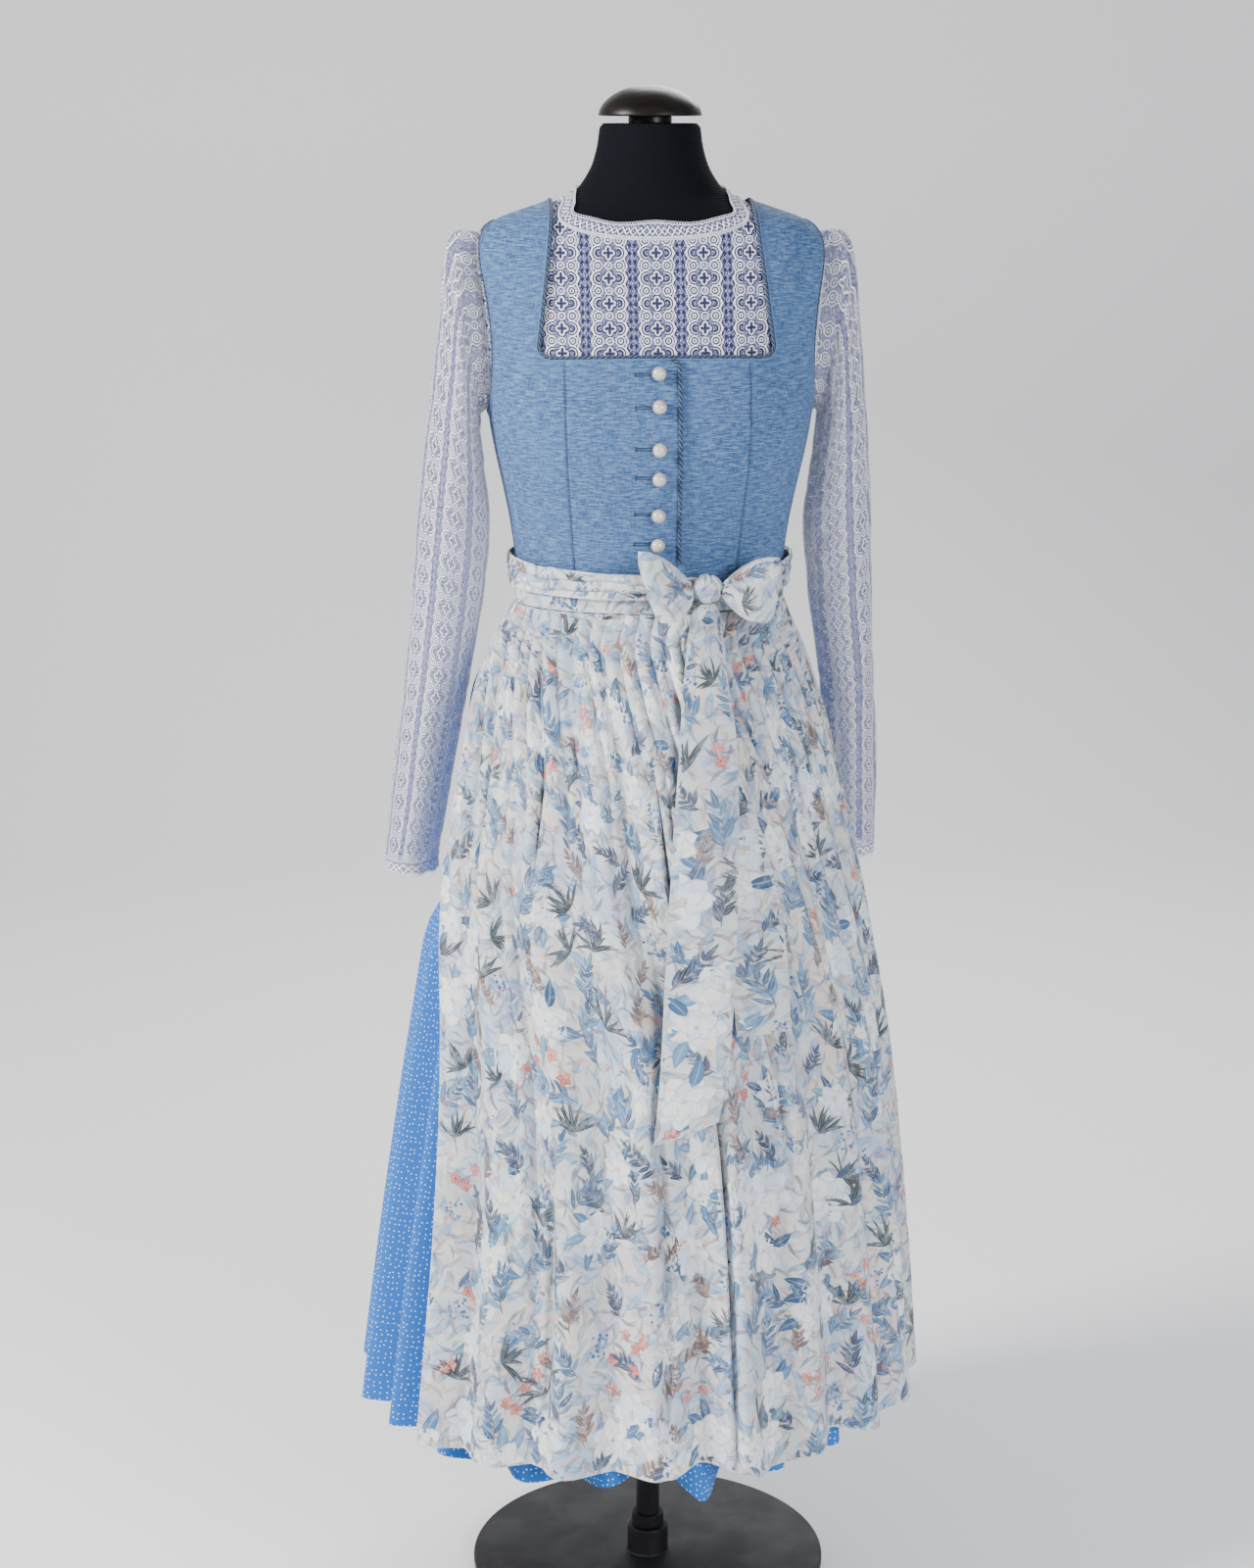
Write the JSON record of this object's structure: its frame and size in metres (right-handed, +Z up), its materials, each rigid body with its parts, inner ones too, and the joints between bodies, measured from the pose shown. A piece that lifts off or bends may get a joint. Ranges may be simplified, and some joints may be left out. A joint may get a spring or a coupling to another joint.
{
  "type": "dirndl on a dress form",
  "caption": "Long dirndl with lace blouse, buttoned linen bodice, gathered skirt and tied flower-print apron, worn by a limbless dress form on a round stand.",
  "frame": {"origin": "middle of the underside of the stand's round base", "axes": "+Z up, the front of the dress faces -Y, +X is the wearer's left"},
  "size_m": [0.5903, 0.6107, 1.5686],
  "materials": {
    "form_cloth": "black jersey",
    "form_cap": "dark brown gloss",
    "stand_metal": "black powder coat",
    "lace": "white cord on pale lilac net",
    "linen": "slubbed blue linen weave",
    "piping": "twisted two-tone cord",
    "pearl": "pearl",
    "skirt_cotton": "plain cotton with tiny dots",
    "apron_print": "soft satin with a flower print"
  },
  "bodies": {
    "root": {"form_torso": "form_cloth", "form_neck_post": "form_cap", "form_cap": "form_cap", "stand_pole": "stand_metal", "stand_base": "stand_metal", "blouse_front": "lace", "blouse_back": "lace", "blouse_collar": "lace", "blouse_sleeve_right": "lace", "blouse_sleeve_left": "lace", "blouse_cuff_right": "lace", "blouse_cuff_left": "lace", "bodice_centre_right": "linen", "bodice_centre_left": "linen", "bodice_side_right": "linen", "bodice_side_left": "linen", "bodice_back_centre": "linen", "bodice_back_right": "linen", "bodice_back_left": "linen", "piping_neck": "piping", "piping_armhole_right": "piping", "piping_armhole_left": "piping", "piping_closing_edge": "piping", "button_1": "pearl", "button_2": "pearl", "button_3": "pearl", "button_4": "pearl", "button_5": "pearl", "button_6": "pearl", "skirt_front": "skirt_cotton", "skirt_back": "skirt_cotton", "apron_skirt": "apron_print", "apron_waistband": "apron_print", "tie_wrap_right": "apron_print", "tie_wrap_left": "apron_print", "tie_back": "apron_print", "bow_knot": "apron_print", "bow_loop_right": "apron_print", "bow_loop_left": "apron_print", "bow_tail_long": "apron_print", "bow_tail_short": "apron_print"}
  },
  "joints": []
}
